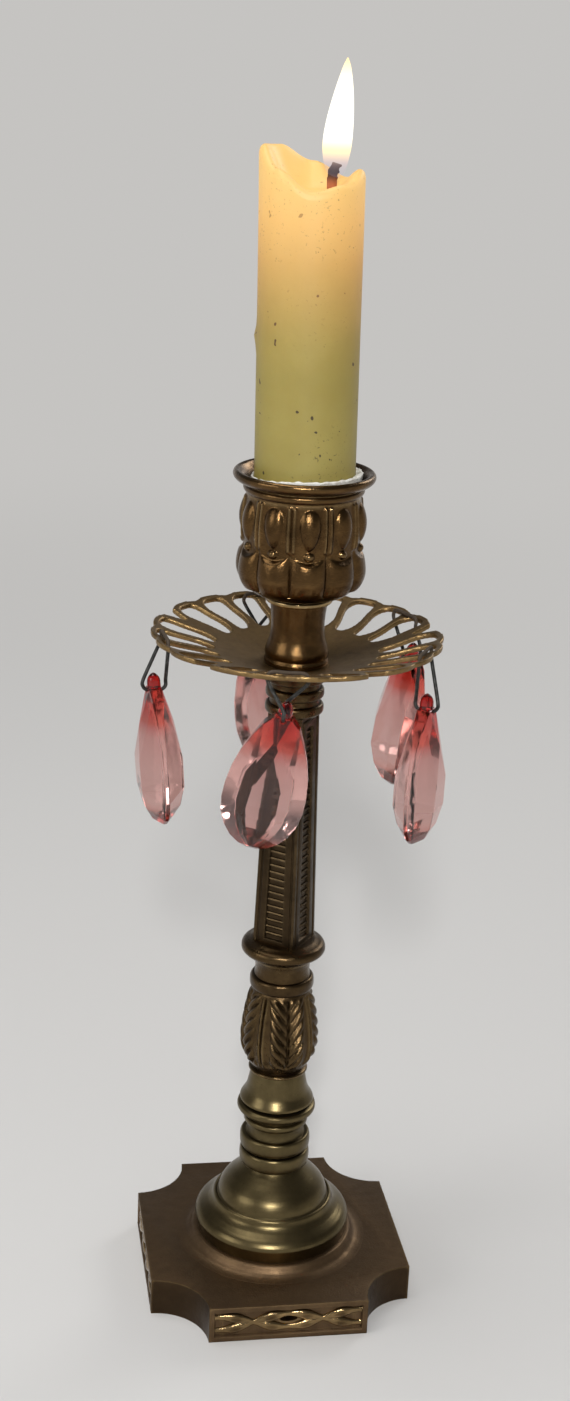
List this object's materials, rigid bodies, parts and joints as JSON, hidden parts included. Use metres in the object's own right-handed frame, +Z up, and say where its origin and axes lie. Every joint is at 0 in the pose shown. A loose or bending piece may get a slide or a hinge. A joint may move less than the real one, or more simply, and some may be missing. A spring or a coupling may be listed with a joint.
{
  "type": "crystal drop candlestick",
  "caption": "Antique brass candlestick on a square plinth, with a pierced drip pan, pink glass drops hung on wires and a half-burnt candle that lifts out of its cup.",
  "frame": {"origin": "on the stem's axis at the underside of the base", "axes": "+Z up along the stem, -Y out of the base's front panel"},
  "size_m": [0.0698, 0.0691, 0.2681],
  "materials": {
    "cast_brass": "dark antique cast brass, satin, with dark recesses",
    "turned_brass": "turned brass, worn polish",
    "cup_brass": "golden brown brass, polished high spots",
    "pan_brass": "thin brown brass, dull",
    "steel": "plain steel",
    "wire": "dark bent wire",
    "pink_glass": "cut glass, pink with a red head",
    "wax": "candle wax, satin",
    "wick": "charred cotton",
    "paper": "white soft paper"
  },
  "bodies": {
    "stick": {"base_plate": "cast_brass", "turned_foot": "turned_brass", "stem_spool": "turned_brass", "leaf_baluster": "cast_brass", "column_collar": "cast_brass", "column": "cast_brass", "column_cap": "cast_brass", "drip_pan": "pan_brass", "candle_cup": "cup_brass", "tie_rod": "steel", "base_washer": "steel", "base_nut": "steel"},
    "candle_body": {"candle": "wax", "wick": "wick", "candle_packing": "paper"},
    "hanger_1": {"drop_wire_1": "wire"},
    "drop_1": {"crystal_drop_1": "pink_glass"},
    "hanger_2": {"drop_wire_2": "wire"},
    "drop_2": {"crystal_drop_2": "pink_glass"},
    "hanger_3": {"drop_wire_3": "wire"},
    "drop_3": {"crystal_drop_3": "pink_glass"},
    "hanger_4": {"drop_wire_4": "wire"},
    "drop_4": {"crystal_drop_4": "pink_glass"},
    "hanger_5": {"drop_wire_5": "wire"},
    "drop_5": {"crystal_drop_5": "pink_glass"}
  },
  "joints": [
    {"name": "candle_lift", "type": "slide", "parent": "stick", "child": "candle_body", "axis": [-0.0182, 0.0031, 0.9998], "range_m": [0, 0.03]},
    {"name": "hanger_1_swing", "type": "hinge", "parent": "stick", "child": "hanger_1", "pos_m": [-0.00665, -0.02925, 0.16376], "axis": [-0.9751, 0.2215, 0], "range_deg": [-8, 15]},
    {"name": "drop_1_swing", "type": "hinge", "parent": "hanger_1", "child": "drop_1", "pos_m": [-0.00732, -0.03043, 0.15416], "axis": [-0.2215, -0.9751, 0], "range_deg": [-9, 31]},
    {"name": "hanger_2_swing", "type": "hinge", "parent": "stick", "child": "hanger_2", "pos_m": [0.02577, -0.01536, 0.16376], "axis": [-0.512, -0.859, 0], "range_deg": [-8, 15]},
    {"name": "drop_2_swing", "type": "hinge", "parent": "hanger_2", "child": "drop_2", "pos_m": [0.02663, -0.01587, 0.15036], "axis": [0.859, -0.512, 0], "range_deg": [-12, 12]},
    {"name": "hanger_3_swing", "type": "hinge", "parent": "stick", "child": "hanger_3", "pos_m": [0.02714, 0.01277, 0.16376], "axis": [0.4258, -0.9048, 0], "range_deg": [-8, 15]},
    {"name": "drop_3_swing", "type": "hinge", "parent": "hanger_3", "child": "drop_3", "pos_m": [0.0295, 0.01388, 0.15257], "axis": [0.9048, 0.4258, 0], "range_deg": [-16, 8]},
    {"name": "hanger_4_swing", "type": "hinge", "parent": "stick", "child": "hanger_4", "pos_m": [-0.00376, 0.02976, 0.16376], "axis": [0.9921, 0.1253, 0], "range_deg": [-8, 15]},
    {"name": "drop_4_swing", "type": "hinge", "parent": "hanger_4", "child": "drop_4", "pos_m": [-0.00383, 0.03036, 0.15177], "axis": [-0.1253, 0.9921, 0], "range_deg": [-10, 30]},
    {"name": "hanger_5_swing", "type": "hinge", "parent": "stick", "child": "hanger_5", "pos_m": [-0.02988, -0.00272, 0.16376], "axis": [-0.0906, 0.9959, 0], "range_deg": [-8, 15]},
    {"name": "drop_5_swing", "type": "hinge", "parent": "hanger_5", "child": "drop_5", "pos_m": [-0.03197, -0.00291, 0.15136], "axis": [-0.9959, -0.0906, 0], "range_deg": [-22, 18]}
  ]
}
